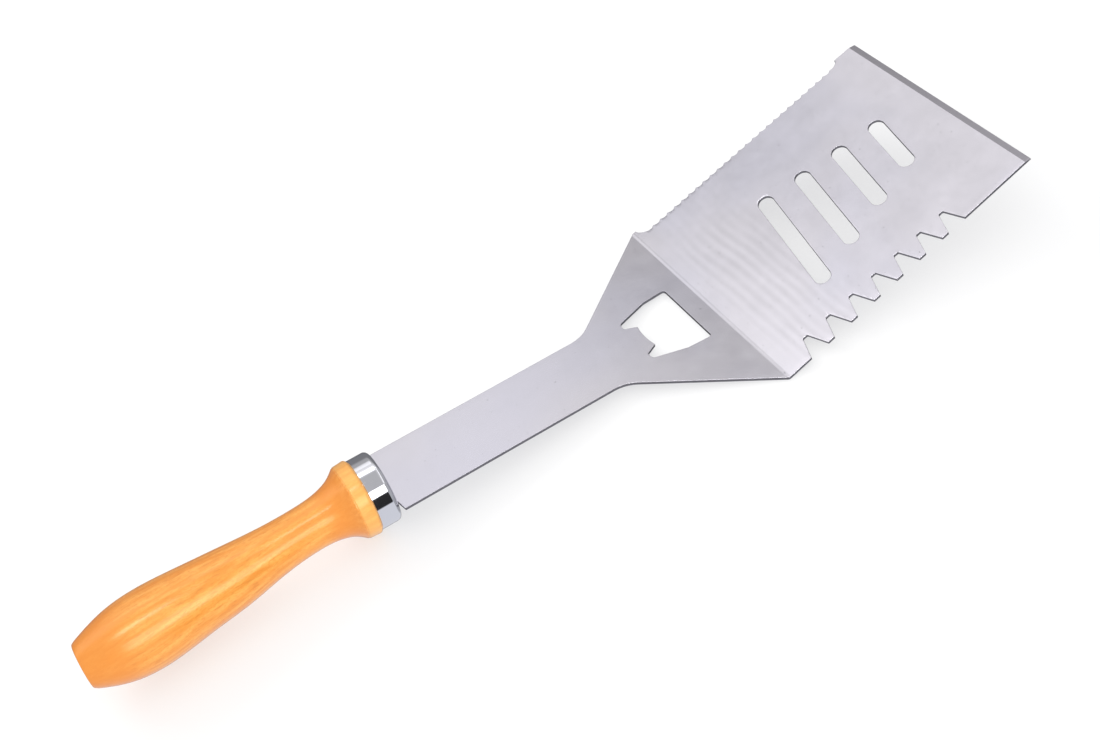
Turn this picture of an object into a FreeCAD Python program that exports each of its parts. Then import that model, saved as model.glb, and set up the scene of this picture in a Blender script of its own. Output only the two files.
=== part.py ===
import FreeCAD, Part
import math
import os

import Sketcher

# A grill spatula, lying on a flat surface as it does when it is put down: it touches the surface along
# the bend between blade and neck, and under the collar of the handle. X runs towards the blade's front
# edge, Y to the left of someone holding the handle, Z up. Lengths are in millimetres, angles in degrees.
#
# Two frames help to describe it. In both, the origin is the middle of the bend line, in the middle of
# the sheet's thickness. The blade frame has the flat blade in its XY plane. The neck frame has the
# neck, the shank and the handle's axis in its XY plane, so places on them have negative X.

DIMENSIONS = {
    # Sheet and bend
    "sheet_thickness": 1.3,
    "bend_angle": 18.3,
    "bend_inner_radius": 6.0,
    # Blade
    "blade_length": 120.0,
    "blade_rear_width": 102.2,
    "blade_front_width": 99.4,
    "bevel_length": 2.8,
    "front_edge_thickness": 0.4,
    # Slots, counted from the bend
    "slot_count": 4,
    "slot_width": 6.7,
    "slot_slant": 10.6,
    "slot_pitch": 17.8,
    "first_slot_distance": 40.5,
    "first_slot_length": 51.6,
    "slot_length_step": 7.7,
    "first_slot_offset": -5.1,
    "slot_offset_step": 1.1,
    # Tenderising teeth along the right side, made by notches between them
    "notch_count": 7,
    "notch_pitch": 11.3,
    "first_notch_distance": 14.9,
    "notch_mouth": 8.2,
    "notch_root": 2.0,
    "notch_depth": 8.6,
    "notch_root_radius": 0.6,
    # Serrated edge along the left side, set back between two plain tabs
    "serration_count": 26,
    "serration_pitch": 3.84,
    "serration_depth": 0.8,
    "serration_start": 4.6,
    "serration_setback": 3.6,
    "rear_tab_length": 1.9,
    "rear_tab_chamfer": 1.6,
    "front_tab_notch_depth": 1.3,
    "front_tab_notch_length": 4.6,
    "recess_rear_radius": 6.0,
    "recess_front_radius": 4.0,
    "scallop_radius": 3.4,
    "scallop_low_point": 0.72,
    # Neck, shank and tang
    "flare_length": 47.2,
    "flare_corner_radius": 14.0,
    "shank_width": 30.0,
    "shank_end": 139.2,
    "shoulder_slope": 1.0,
    "tang_root_width": 19.0,
    "tang_root_end": 142.3,
    "tang_spike_width": 9.0,
    "tang_spike_start": 155.0,
    "tang_end": 188.0,
    "tang_end_width": 4.0,
    # Bottle opener in the neck
    "opener_front": 8.9,
    "opener_front_width": 31.8,
    "opener_middle": 19.0,
    "opener_middle_width": 30.6,
    "opener_rear": 32.4,
    "opener_rear_width": 22.4,
    "opener_corner_radius": 1.2,
    "opener_lobe_radius": 2.0,
    "claw_tip": 27.7,
    "claw_tip_width": 11.8,
    "claw_root_width": 16.4,
    "claw_hollow_radius": 24.0,
    # Ferrule
    "ferrule_front": 139.25,
    "ferrule_radius": 13.5,
    "ferrule_wall": 0.6,
    "ferrule_length": 8.05,
    "ferrule_edge_radius": 1.9,
    "tang_slot_clearance": 0.2,
    # Handle
    "collar_front_radius": 14.3,
    "collar_rear_radius": 14.0,
    "collar_length": 5.2,
    "collar_edge_radius": 1.2,
    "butt_edge_radius": 0.6,
    "bore_radius": 5.2,
    "bore_end": 192.0,
    # How the spatula lies: the neck rises from the bend to the handle, and both shifts are worked out
    # at the end, so that the origin is on the surface under the middle of the length
    "neck_rise": 5.28,
    "shift_forward": 0.0,
    "shift_up": 0.0,
    # Cutting tools reach this far past the sheet's edges, and this far through it
    "overshoot": 1.0,
    "cut_reach": 60.0,
}

# The handle behind its collar: how far each section is from the collar, its radius, and how far its
# centre lies below the neck's plane. The wood droops and swells into a belly before the flat butt.
GRIP_SECTIONS = {
    "collar": (0.0, 14.0, 0.0),
    "hollow": (3.0, 11.6, 0.0),
    "throat": (6.8, 9.9, 0.1),
    "waist": (18.0, 8.65, 0.7),
    "swell": (31.5, 9.4, 1.9),
    "palm": (44.0, 11.0, 3.2),
    "grip": (60.0, 12.6, 4.0),
    "belly": (75.0, 13.9, 5.0),
    "heel": (87.5, 13.0, 5.6),
    "taper": (94.2, 11.1, 5.7),
    "butt": (101.0, 8.3, 5.5),
}

# How the bodies are turned about Y from their own frames, and where the neck's plane is in the blade's
BLADE_TURN = "dimensions.neck_rise - dimensions.bend_angle"
NECK_TURN = "dimensions.neck_rise"
NECK_PLANE = "placement(vector(0; 0; 0); rotation(vector(0; 1; 0); dimensions.bend_angle))"

# Points of a sketch's edge, as its constraints number them
START, END, CENTRE = 1, 2, 3

# How near an edge's middle is to the place that it is looked for, how closely a surface is measured, and
# how small a coordinate is that counts as being on the axis
NEAR = 0.5
MEASURING_TOLERANCE = 0.01
ON_AXIS = 1e-9


class Size:
    """A length or an angle that knows its value and the spreadsheet expression that drives it."""

    def __init__(self, value, text):
        self.value = value
        self.text = text

    def _join(self, sign, other, value):
        text = other.text if isinstance(other, Size) else repr(other)
        return Size(value, f"({self.text} {sign} {text})")

    def __add__(self, other):
        return self._join("+", other, self.value + number(other))

    def __sub__(self, other):
        return self._join("-", other, self.value - number(other))

    def __mul__(self, other):
        return self._join("*", other, self.value * number(other))

    def __truediv__(self, other):
        return self._join("/", other, self.value / number(other))

    def __neg__(self):
        return Size(-self.value, f"(-{self.text})")


def number(quantity):
    """The plain number of a Size or of a number."""
    return quantity.value if isinstance(quantity, Size) else quantity


def sine(angle):
    return Size(math.sin(math.radians(angle.value)), f"sin({angle.text})")


def cosine(angle):
    return Size(math.cos(math.radians(angle.value)), f"cos({angle.text})")


def tangent(angle):
    return Size(math.tan(math.radians(angle.value)), f"tan({angle.text})")


def size(alias):
    """The named cell of the spreadsheet."""
    return Size(float(CELLS[alias]), f"dimensions.{alias}")


ZERO = Size(0.0, "0")


# ---------------------------------------------------------------- document and spreadsheet


def make_sheet(doc):
    """Put every driving dimension in a spreadsheet, one aliased cell each."""
    sheet = doc.addObject("Spreadsheet::Sheet", "dimensions")
    for row, (alias, value) in enumerate(CELLS.items(), start=1):
        sheet.set(f"A{row}", alias)
        sheet.set(f"B{row}", str(value))
        sheet.setAlias(f"B{row}", alias)
    doc.recompute()
    return sheet


def all_cells():
    """The driving dimensions together with three cells for each section of the grip."""
    cells = dict(DIMENSIONS)
    for name, (distance, radius, drop) in GRIP_SECTIONS.items():
        cells[f"{name}_distance"] = distance
        cells[f"{name}_radius"] = radius
        cells[f"{name}_drop"] = drop
    return cells


CELLS = all_cells()


# ---------------------------------------------------------------- sketch helpers


def origin_plane(body, role):
    return next(feature for feature in body.Origin.OriginFeatures if feature.Role == role)


def new_sketch(body, name, role, offset=None):
    """A sketch on one of the body's own origin planes, moved by the expression in offset if given."""
    sketch = body.newObject("Sketcher::SketchObject", name)
    sketch.AttachmentSupport = [(origin_plane(body, role), "")]
    sketch.MapMode = "FlatFace"
    if offset:
        sketch.setExpression("AttachmentOffset", offset)
    body.Document.recompute()
    return sketch


def constrain(sketch, size_of, *arguments):
    """Add a constraint whose value is bound to a Size."""
    index = sketch.addConstraint(Sketcher.Constraint(*arguments, size_of.value))
    sketch.setExpression(f"Constraints[{index}]", size_of.text)


def pin(sketch, geometry, end, corner):
    """Fix one end of an edge at a corner given as two Sizes."""
    origin = (-1, 1)
    for axis, kind, coordinate in ((-2, "DistanceX", corner[0]), (-1, "DistanceY", corner[1])):
        if abs(coordinate.value) < ON_AXIS:
            sketch.addConstraint(Sketcher.Constraint("PointOnObject", geometry, end, axis))
        else:
            constrain(sketch, coordinate, kind, *origin, geometry, end)


def end_at(sketch, geometry, point):
    """Which end of an edge lies at a point."""
    gaps = {end: sketch.getPoint(geometry, end).distanceToPoint(point) for end in (START, END)}
    return min(gaps, key=gaps.get)


def outline(sketch, corners, arcs=None):
    """A closed outline through corners given as pairs of Sizes.

    arcs says which sides are round: the number of the corner that the side starts from, with its
    radius and 1 if it bows to the left of its direction or -1 if it bows to the right.
    """
    arcs = arcs or {}
    points = [FreeCAD.Vector(number(x), number(y), 0) for x, y in corners]
    sides = []
    for index, start in enumerate(points):
        end = points[(index + 1) % len(points)]
        if index in arcs:
            radius, bow = arcs[index]
            edge = Part.Arc(start, arc_middle(start, end, radius.value, bow), end)
        else:
            edge = Part.LineSegment(start, end)
        geometry = sketch.addGeometry(edge, False)
        sides.append((geometry, end_at(sketch, geometry, start), end_at(sketch, geometry, end)))
    for index, (geometry, start, _) in enumerate(sides):
        previous, _, previous_end = sides[index - 1]
        sketch.addConstraint(Sketcher.Constraint("Coincident", previous, previous_end, geometry, start))
        pin(sketch, geometry, start, corners[index])
        if index in arcs:
            constrain(sketch, arcs[index][0], "Radius", geometry)


def arc_middle(start, end, radius, bow):
    """The middle point of the shorter arc of a radius from start to end."""
    half = (end - start) * 0.5
    rise = radius - math.sqrt(radius ** 2 - half.Length ** 2)
    left = FreeCAD.Vector(-half.y, half.x, 0).normalize()
    return start + half + left * (bow * rise)


def stadium(sketch, centre_x, centre_y, length, width, slant):
    """A slot with round ends that runs along Y, turned clockwise by slant."""
    reach = (length - width) / 2
    step_x = reach * sine(slant)
    step_y = reach * cosine(slant)
    middles = [(centre_x + step_x, centre_y + step_y), (centre_x - step_x, centre_y - step_y)]
    centres = [FreeCAD.Vector(x.value, y.value, 0) for x, y in middles]
    radius = width.value / 2
    lean = math.radians(slant.value)
    across = FreeCAD.Vector(math.cos(lean), -math.sin(lean), 0) * radius
    along = FreeCAD.Vector(math.sin(lean), math.cos(lean), 0) * radius
    far = sketch.addGeometry(Part.Arc(centres[0] + across, centres[0] + along, centres[0] - across), False)
    left = sketch.addGeometry(Part.LineSegment(centres[0] - across, centres[1] - across), False)
    near = sketch.addGeometry(Part.Arc(centres[1] - across, centres[1] - along, centres[1] + across), False)
    right = sketch.addGeometry(Part.LineSegment(centres[1] + across, centres[0] + across), False)
    loop = [far, left, near, right]
    for first, second in zip(loop, loop[1:] + loop[:1]):
        sketch.addConstraint(Sketcher.Constraint("Tangent", first, END, second, START))
    pin(sketch, far, CENTRE, middles[0])
    pin(sketch, near, CENTRE, middles[1])
    constrain(sketch, width / 2, "Radius", far)


def circle(sketch, centre_y, radius):
    """A circle centred on the sketch's vertical axis."""
    geometry = sketch.addGeometry(
        Part.Circle(FreeCAD.Vector(0, centre_y.value, 0), FreeCAD.Vector(0, 0, 1), radius.value), False)
    pin(sketch, geometry, CENTRE, (ZERO, centre_y))
    constrain(sketch, radius, "Radius", geometry)


# ---------------------------------------------------------------- feature helpers


def new_body(doc, label):
    body = doc.addObject("PartDesign::Body", label)
    body.Label = label
    return body


def pad(body, sketch, name, length):
    """Thicken a sketch equally to both sides."""
    feature = body.newObject("PartDesign::Pad", name)
    feature.Profile = sketch
    feature.SideType = "Symmetric"
    feature.setExpression("Length", length.text)
    body.Document.recompute()
    return feature


def cut(body, sketch, name, depth, side_type="One side"):
    """Cut a sketch out of a body, and make sure that it removes material."""
    before = body.Shape.Volume
    feature = body.newObject("PartDesign::Pocket", name)
    feature.Profile = sketch
    feature.SideType = side_type
    feature.setExpression("Length", depth.text)
    body.Document.recompute()
    if body.Shape.Volume >= before:
        raise RuntimeError(f"{name} removes nothing")
    return feature


def cut_through(body, sketch, name):
    return cut(body, sketch, name, size("cut_reach"), "Symmetric")


def edges_near(shape, spots):
    """Names of the edges whose middles are at the given places."""
    names = []
    for index, edge in enumerate(shape.Edges, start=1):
        if any(edge.CenterOfMass.distanceToPoint(spot) < NEAR for spot in spots):
            names.append(f"Edge{index}")
    return names


def dress(body, kind, name, edges, amount):
    """A fillet or a chamfer on named edges of the body's last feature."""
    base = body.Tip
    feature = body.newObject(f"PartDesign::{kind}", name)
    feature.Base = (base, edges)
    feature.setExpression("Radius" if kind == "Fillet" else "Size", amount.text)
    body.Document.recompute()
    return feature


def neck_place(distance, side):
    """A point of the neck's middle plane, in the blade frame."""
    rise = math.radians(CELLS["bend_angle"])
    return FreeCAD.Vector(-distance * math.cos(rise), side, distance * math.sin(rise))


def neck_offset(distance):
    """The attachment offset of a plane square to the neck's axis, so far from the bend."""
    return f"placement(vector(0; 0; -({distance.text})); rotation(vector(0; 0; 1); 0))"


def tang_section(body, name, distance):
    """The opening that the flat tang passes through, with clearance all round."""
    sketch = new_sketch(body, name, "YZ_Plane", neck_offset(distance))
    half_width = size("tang_root_width") / 2 + size("tang_slot_clearance")
    half_height = size("sheet_thickness") / 2 + size("tang_slot_clearance")
    outline(sketch, [
        (half_width, half_height),
        (-half_width, half_height),
        (-half_width, -half_height),
        (half_width, -half_height),
    ])
    return sketch


def lie_down(body, turn):
    """Put a body where it is while the spatula lies on a surface. turn is its pitch about Y."""
    body.setExpression("Placement", "placement(vector(dimensions.shift_forward; 0; dimensions.shift_up);"
                                    f" rotation(vector(0; 1; 0); {turn}))")


# ---------------------------------------------------------------- blade, neck, shank and tang


def sheet_profile(body):
    """The side view of the bent sheet: blade with its front bevel, bend, and neck down to the tang."""
    sketch = new_sketch(body, "side_profile", "XZ_Plane")
    half = size("sheet_thickness") / 2
    angle = size("bend_angle")
    inner = size("bend_inner_radius")
    outer = inner + size("sheet_thickness")
    run = (inner + half) * tangent(angle / 2)
    length = size("blade_length")
    tip = size("tang_end")

    def on_neck(distance, height):
        """A place on the neck, so far from the bend and so high above the middle of the sheet."""
        return (height * sine(angle) - distance * cosine(angle),
                distance * sine(angle) + height * cosine(angle))

    corners = [
        (length, -half),
        (length, size("front_edge_thickness") - half),
        (length - size("bevel_length"), half),
        (run, half),
        on_neck(run, half),
        on_neck(tip, half),
        on_neck(tip, -half),
        on_neck(run, -half),
        (run, -half),
    ]
    outline(sketch, corners, {3: (inner, 1), 7: (outer, -1)})
    return sketch


def blade_sides(body):
    """What is trimmed off both sides of the blade, so that it narrows towards its front."""
    sketch = new_sketch(body, "blade_side_offcuts", "XY_Plane")
    rear = size("blade_rear_width") / 2
    front = size("blade_front_width") / 2
    beyond = size("blade_length") + size("overshoot")
    slope_end = rear - (rear - front) * beyond / size("blade_length")
    for mirror in (1, -1):
        outline(sketch, [
            (ZERO, rear * mirror),
            (beyond, slope_end * mirror),
            (beyond, (rear + size("overshoot")) * mirror),
            (ZERO, (rear + size("overshoot")) * mirror),
        ])
    return sketch


def neck_sides(body):
    """What is cut off both sides of the neck: beside the flare, the shank and the tang."""
    sketch = new_sketch(body, "neck_side_offcuts", "XY_Plane", NECK_PLANE)
    rear = size("blade_rear_width") / 2
    shank = size("shank_width") / 2
    shoulder = size("shank_end")
    slope = size("shoulder_slope")
    root = size("tang_root_width") / 2
    spike = size("tang_spike_width") / 2
    point = size("tang_end_width") / 2
    beyond = size("tang_end") + size("overshoot")
    outside = rear + size("overshoot")
    for mirror in (1, -1):
        outline(sketch, [
            (ZERO, rear * mirror),
            (-size("flare_length"), shank * mirror),
            (-(shoulder - slope), shank * mirror),
            (-shoulder, root * mirror),
            (-size("tang_root_end"), root * mirror),
            (-size("tang_spike_start"), spike * mirror),
            (-size("tang_end"), point * mirror),
            (-beyond, point * mirror),
            (-beyond, outside * mirror),
            (ZERO, outside * mirror),
        ])
    return sketch


def slots(body):
    """Slanted slots with round ends, each shorter than the one behind it."""
    sketch = new_sketch(body, "slot_outlines", "XY_Plane")
    for index in range(int(CELLS["slot_count"])):
        stadium(sketch,
                size("first_slot_distance") + size("slot_pitch") * index,
                size("first_slot_offset") + size("slot_offset_step") * index,
                size("first_slot_length") - size("slot_length_step") * index,
                size("slot_width"),
                size("slot_slant"))
    return sketch


def notch_centre(index):
    return size("first_notch_distance") + size("notch_pitch") * index


def side_edge(distance):
    """Half the blade's width at a distance from the bend."""
    rear = size("blade_rear_width") / 2
    front = size("blade_front_width") / 2
    return rear - (rear - front) * distance / size("blade_length")


def tooth_notches(body):
    """The notches that leave tenderising teeth along the right side."""
    sketch = new_sketch(body, "tooth_notches", "XY_Plane")
    flank = (size("notch_mouth") - size("notch_root")) / 2
    widening = flank * size("overshoot") / size("notch_depth")
    for index in range(int(CELLS["notch_count"])):
        centre = notch_centre(index)
        edge = side_edge(centre)
        mouth = size("notch_mouth") / 2 + widening
        outside = edge + size("overshoot")
        root = size("notch_root") / 2
        outline(sketch, [
            (centre - mouth, -outside),
            (centre + mouth, -outside),
            (centre + root, size("notch_depth") - edge),
            (centre - root, size("notch_depth") - edge),
        ])
    return sketch


def notch_root_corners():
    """Where the notches' inner corners are."""
    spots = []
    for index in range(int(CELLS["notch_count"])):
        centre = notch_centre(index)
        for side in (1, -1):
            across = centre.value + side * CELLS["notch_root"] / 2
            spots.append(FreeCAD.Vector(across, CELLS["notch_depth"] - side_edge(centre).value, 0))
    return spots


def serration_line():
    """How far the tips of the serrated edge are from the blade's centre line."""
    return size("blade_rear_width") / 2 - size("serration_setback")


def serration_recess(body):
    """The long shallow recess for the serrated edge, with a hooked end at the front tab."""
    sketch = new_sketch(body, "serration_recess", "XY_Plane")
    line = serration_line()
    outside = size("blade_rear_width") / 2 + size("overshoot")
    start = size("serration_start")
    end = start + size("serration_pitch") * size("serration_count")
    hook_end = end + size("front_tab_notch_length")
    tab = size("rear_tab_length")
    outline(sketch, [
        (tab, outside),
        (tab, size("blade_rear_width") / 2 - size("rear_tab_chamfer") / 2),
        (start, line),
        (end, line),
        (hook_end, side_edge(hook_end) - size("front_tab_notch_depth") / 2),
        (hook_end, outside),
    ], {1: (size("recess_rear_radius"), -1), 3: (size("recess_front_radius"), -1)})
    return sketch


def serration_scallop(body):
    """One scallop of the serrated edge, steep towards the blade's front."""
    sketch = new_sketch(body, "serration_scallop", "XY_Plane")
    line = serration_line()
    start = size("serration_start")
    pitch = size("serration_pitch")
    bottom = line - size("serration_depth")
    outline(sketch, [
        (start, line),
        (start + pitch * size("scallop_low_point"), bottom),
        (start + pitch, line),
        (start + pitch, line + size("overshoot")),
        (start, line + size("overshoot")),
    ], {0: (size("scallop_radius"), -1)})
    return sketch


def repeat_scallop(body, pocket):
    """Repeat the scallop along the serrated edge."""
    pattern = body.newObject("PartDesign::LinearPattern", "serration")
    pattern.Originals = [pocket]
    pattern.Direction = (origin_plane(body, "X_Axis"), [""])
    pattern.setExpression("Length", "dimensions.serration_pitch * (dimensions.serration_count - 1)")
    pattern.setExpression("Occurrences", "dimensions.serration_count")
    body.Tip = pattern
    body.Document.recompute()
    return pattern


def opener_outline(body):
    """The bottle opener: a straight front edge, sides that close in, and a claw between two lobes."""
    sketch = new_sketch(body, "opener_outline", "XY_Plane", NECK_PLANE)
    profile = [
        (-size("opener_front"), size("opener_front_width") / 2),
        (-size("opener_middle"), size("opener_middle_width") / 2),
        (-size("opener_rear"), size("opener_rear_width") / 2),
        (-size("opener_rear"), size("claw_root_width") / 2),
        (-size("claw_tip"), size("claw_tip_width") / 2),
    ]
    mirrored = [(along, -side) for along, side in reversed(profile)]
    claw = len(profile) - 1
    outline(sketch, profile + mirrored, {claw: (size("claw_hollow_radius"), -1)})
    return sketch


def make_blade(doc):
    body = new_body(doc, "blade")
    pad(body, sheet_profile(body), "bent_sheet", size("blade_rear_width"))
    cut_through(body, neck_sides(body), "neck_sides")
    flare_corners = [neck_place(CELLS["flare_length"], side * CELLS["shank_width"] / 2) for side in (1, -1)]
    dress(body, "Fillet", "flare_corners", edges_near(body.Shape, flare_corners),
          size("flare_corner_radius"))
    cut_through(body, blade_sides(body), "blade_sides")
    cut_through(body, slots(body), "slots")
    cut_through(body, tooth_notches(body), "teeth")
    dress(body, "Fillet", "notch_root_corners", edges_near(body.Shape, notch_root_corners()),
          size("notch_root_radius"))
    cut_through(body, serration_recess(body), "serration_recess_cut")
    scallop = cut_through(body, serration_scallop(body), "scallop")
    repeat_scallop(body, scallop)
    cut_through(body, opener_outline(body), "bottle_opener")
    front_corners = [neck_place(CELLS["opener_front"], side * CELLS["opener_front_width"] / 2)
                     for side in (1, -1)]
    dress(body, "Fillet", "opener_front_corners", edges_near(body.Shape, front_corners),
          size("opener_corner_radius"))
    lobes = [neck_place(CELLS["opener_rear"], side * CELLS["opener_rear_width"] / 2) for side in (1, -1)]
    dress(body, "Fillet", "opener_lobes", edges_near(body.Shape, lobes),
          size("opener_lobe_radius"))
    lie_down(body, BLADE_TURN)
    return body


# ---------------------------------------------------------------- ferrule


def revolve(body, sketch, name):
    """Turn a sketch about the neck frame's X axis."""
    feature = body.newObject("PartDesign::Revolution", name)
    feature.Profile = sketch
    feature.ReferenceAxis = (origin_plane(body, "X_Axis"), [""])
    feature.Angle = 360
    body.Document.recompute()
    return feature


def make_ferrule(doc):
    """A drawn cap with a rounded front edge, slotted for the tang."""
    body = new_body(doc, "ferrule")
    front = size("ferrule_front")
    rear = front + size("ferrule_length")
    radius = size("ferrule_radius")
    wall = size("ferrule_wall")
    edge = size("ferrule_edge_radius")
    sketch = new_sketch(body, "cap_profile", "XY_Plane")
    outline(sketch, [
        (-front, ZERO),
        (-front, radius - edge),
        (-(front + edge), radius),
        (-rear, radius),
        (-rear, radius - wall),
        (-(front + edge), radius - wall),
        (-(front + wall), radius - edge),
        (-(front + wall), ZERO),
    ], {1: (edge, 1), 5: (edge - wall, -1)})
    revolve(body, sketch, "cap")
    slot = tang_section(body, "tang_slot_outline", front)
    cut(body, slot, "tang_slot", size("ferrule_length"))
    lie_down(body, NECK_TURN)
    return body


# ---------------------------------------------------------------- handle


def make_handle(doc):
    """Turned wood: a spigot under the ferrule, a collar, and a drooping grip lofted through circles."""
    body = new_body(doc, "handle")
    collar_front = size("ferrule_front") + size("ferrule_length")
    collar_rear = collar_front + size("collar_length")
    spigot_front = size("ferrule_front") + size("ferrule_edge_radius")
    spigot_radius = size("ferrule_radius") - size("ferrule_wall")
    edge = size("collar_edge_radius")
    sketch = new_sketch(body, "collar_profile", "XY_Plane")
    outline(sketch, [
        (-spigot_front, ZERO),
        (-spigot_front, spigot_radius),
        (-collar_front, spigot_radius),
        (-collar_front, size("collar_front_radius") - edge),
        (-(collar_front + edge), size("collar_front_radius")),
        (-collar_rear, size("collar_rear_radius")),
        (-collar_rear, ZERO),
    ], {3: (edge, 1)})
    revolve(body, sketch, "spigot_and_collar")
    sections = [grip_section(body, name, collar_rear) for name in GRIP_SECTIONS]
    loft = body.newObject("PartDesign::AdditiveLoft", "grip")
    loft.Profile = sections[0]
    loft.Sections = sections[1:]
    loft.Ruled = False
    loft.Closed = False
    body.Document.recompute()
    butt = collar_rear + size("butt_distance")
    rim = FreeCAD.Vector(-butt.value, 0, -CELLS["butt_drop"])
    dress(body, "Fillet", "butt_edge", edges_near(body.Shape, [rim]), size("butt_edge_radius"))
    bore_tang(body)
    lie_down(body, NECK_TURN)
    return body


def grip_section(body, name, collar_rear):
    """One round section of the grip, square to the neck's axis."""
    sketch = new_sketch(body, f"{name}_section", "YZ_Plane",
                        neck_offset(collar_rear + size(f"{name}_distance")))
    circle(sketch, -size(f"{name}_drop"), size(f"{name}_radius"))
    return sketch


def bore_tang(body):
    """The blind hole for the tang: a saw cut through the spigot, then a drilled bore."""
    front = size("ferrule_front") + size("ferrule_edge_radius")
    kerf = tang_section(body, "kerf_outline", front)
    cut(body, kerf, "kerf", size("tang_spike_start") - front)
    bore = new_sketch(body, "bore_outline", "YZ_Plane", neck_offset(front))
    circle(bore, ZERO, size("bore_radius"))
    cut(body, bore, "bore", size("bore_end") - front)


# ---------------------------------------------------------------- adhesive


def make_tang_glue(doc):
    """The adhesive that fills the drilled bore around the tang."""
    body = new_body(doc, "tang_glue")
    front = size("ferrule_front") + size("ferrule_edge_radius")
    bore = new_sketch(body, "filled_bore", "YZ_Plane", neck_offset(front))
    circle(bore, ZERO, size("bore_radius"))
    filling = body.newObject("PartDesign::Pad", "filling")
    filling.Profile = bore
    filling.Reversed = True
    filling.setExpression("Length", (size("bore_end") - front).text)
    doc.recompute()
    tang = new_sketch(body, "tang_outline", "XY_Plane")
    root = size("tang_root_width") / 2
    spike = size("tang_spike_width") / 2
    point = size("tang_end_width") / 2
    outline(tang, [
        (-(front - size("overshoot")), root),
        (-size("tang_root_end"), root),
        (-size("tang_spike_start"), spike),
        (-size("tang_end"), point),
        (-size("tang_end"), -point),
        (-size("tang_spike_start"), -spike),
        (-size("tang_root_end"), -root),
        (-(front - size("overshoot")), -root),
    ])
    space = body.newObject("PartDesign::Pocket", "space_for_tang")
    space.Profile = tang
    space.SideType = "Symmetric"
    space.setExpression("Length", size("sheet_thickness").text)
    doc.recompute()
    lie_down(body, NECK_TURN)
    return body


# ---------------------------------------------------------------- the whole spatula


def set_on_surface(doc, sheet, bodies):
    """Move the origin to the surface that the spatula lies on, under the middle of its length."""
    doc.recompute()
    points = [point for body in bodies for point in surface_points(body)]
    along = [point.x for point in points]
    sheet.set(sheet.getCellFromAlias("shift_forward"), str(-(min(along) + max(along)) / 2))
    sheet.set(sheet.getCellFromAlias("shift_up"), str(-min(point.z for point in points)))
    doc.recompute()


def surface_points(body):
    """Points all over a body's surface, close enough to measure it by."""
    return body.Shape.tessellate(MEASURING_TOLERANCE)[0]


def main():
    doc = FreeCAD.newDocument("grill_spatula")
    sheet = make_sheet(doc)
    bodies = [make_blade(doc), make_ferrule(doc), make_handle(doc), make_tang_glue(doc)]
    set_on_surface(doc, sheet, bodies)
    for item in doc.Objects:
        if any(word in ("Invalid", "Error") for word in item.State):
            raise RuntimeError(f"{item.Label} failed: {item.State}")
    os.makedirs("parts", exist_ok=True)
    for body in bodies:
        shape = body.Shape
        points = surface_points(body)
        print(f"{body.Label}: {shape.Volume:.0f} cubic mm, lowest {min(point.z for point in points):.3f},",
              f"X {min(point.x for point in points):.2f} to {max(point.x for point in points):.2f}")
        if shape.isNull() or not shape.isValid():
            raise RuntimeError(f"{body.Label} has no valid shape")
        shape.exportStep(f"parts/{body.Label}.step")


main()
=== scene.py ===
import bpy
import math

import bmesh
import numpy as np
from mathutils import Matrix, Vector, noise


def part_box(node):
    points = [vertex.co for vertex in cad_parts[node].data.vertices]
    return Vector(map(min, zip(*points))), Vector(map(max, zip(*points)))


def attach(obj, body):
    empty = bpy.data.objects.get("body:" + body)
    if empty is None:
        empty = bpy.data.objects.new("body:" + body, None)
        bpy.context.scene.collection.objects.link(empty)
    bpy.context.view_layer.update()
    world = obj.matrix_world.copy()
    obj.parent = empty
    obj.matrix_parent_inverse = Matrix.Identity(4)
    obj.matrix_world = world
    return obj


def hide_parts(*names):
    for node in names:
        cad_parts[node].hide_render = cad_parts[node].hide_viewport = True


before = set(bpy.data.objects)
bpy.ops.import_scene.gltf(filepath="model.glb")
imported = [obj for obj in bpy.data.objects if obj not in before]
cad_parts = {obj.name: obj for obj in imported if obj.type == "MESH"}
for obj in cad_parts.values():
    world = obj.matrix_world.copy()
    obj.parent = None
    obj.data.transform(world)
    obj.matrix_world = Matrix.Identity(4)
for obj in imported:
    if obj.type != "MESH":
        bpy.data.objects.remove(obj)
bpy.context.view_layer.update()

# Lengths are in metres and angles in degrees, in the frame of the model: X runs to the blade's front
# edge, Y to the left of someone holding the handle, Z up. The spatula lies on the floor at Z = 0.

MM = 0.001

# The sheet: the blade pitches up from the bend, and the neck rises the other way
BLADE_PITCH = 13.02
NECK_RISE = 5.28
SHEET_THICKNESS = 1.3 * MM
BLADE_LENGTH = 120.0 * MM
BEVEL_LENGTH = 2.8 * MM
BROKEN_EDGE = 0.18 * MM
BEND_HEIGHT = 0.58 * MM
BLADE_FORWARD = Vector((math.cos(math.radians(BLADE_PITCH)), 0.0, math.sin(math.radians(BLADE_PITCH))))
BLADE_UP = Vector((-BLADE_FORWARD.z, 0.0, BLADE_FORWARD.x))
NECK_FORWARD = Vector((math.cos(math.radians(NECK_RISE)), 0.0, -math.sin(math.radians(NECK_RISE))))
NECK_UP = Vector((math.sin(math.radians(NECK_RISE)), 0.0, math.cos(math.radians(NECK_RISE))))
LEFT = Vector((0.0, 1.0, 0.0))

# How the blade's mesh is prepared: flatter joints than the first angle go, and sharper ones than the
# second are broken; a face is a cut wall or part of the bevel where it faces up less than this
WELD = 0.0001 * MM
FLAT_ANGLE = 0.6
BROKEN_ANGLE = 40.0
BREAK_STEPS = 2
WALL_FACING = 0.5
BEVEL_FACING = 0.98
NORMAL_WEIGHT = 80

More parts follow.
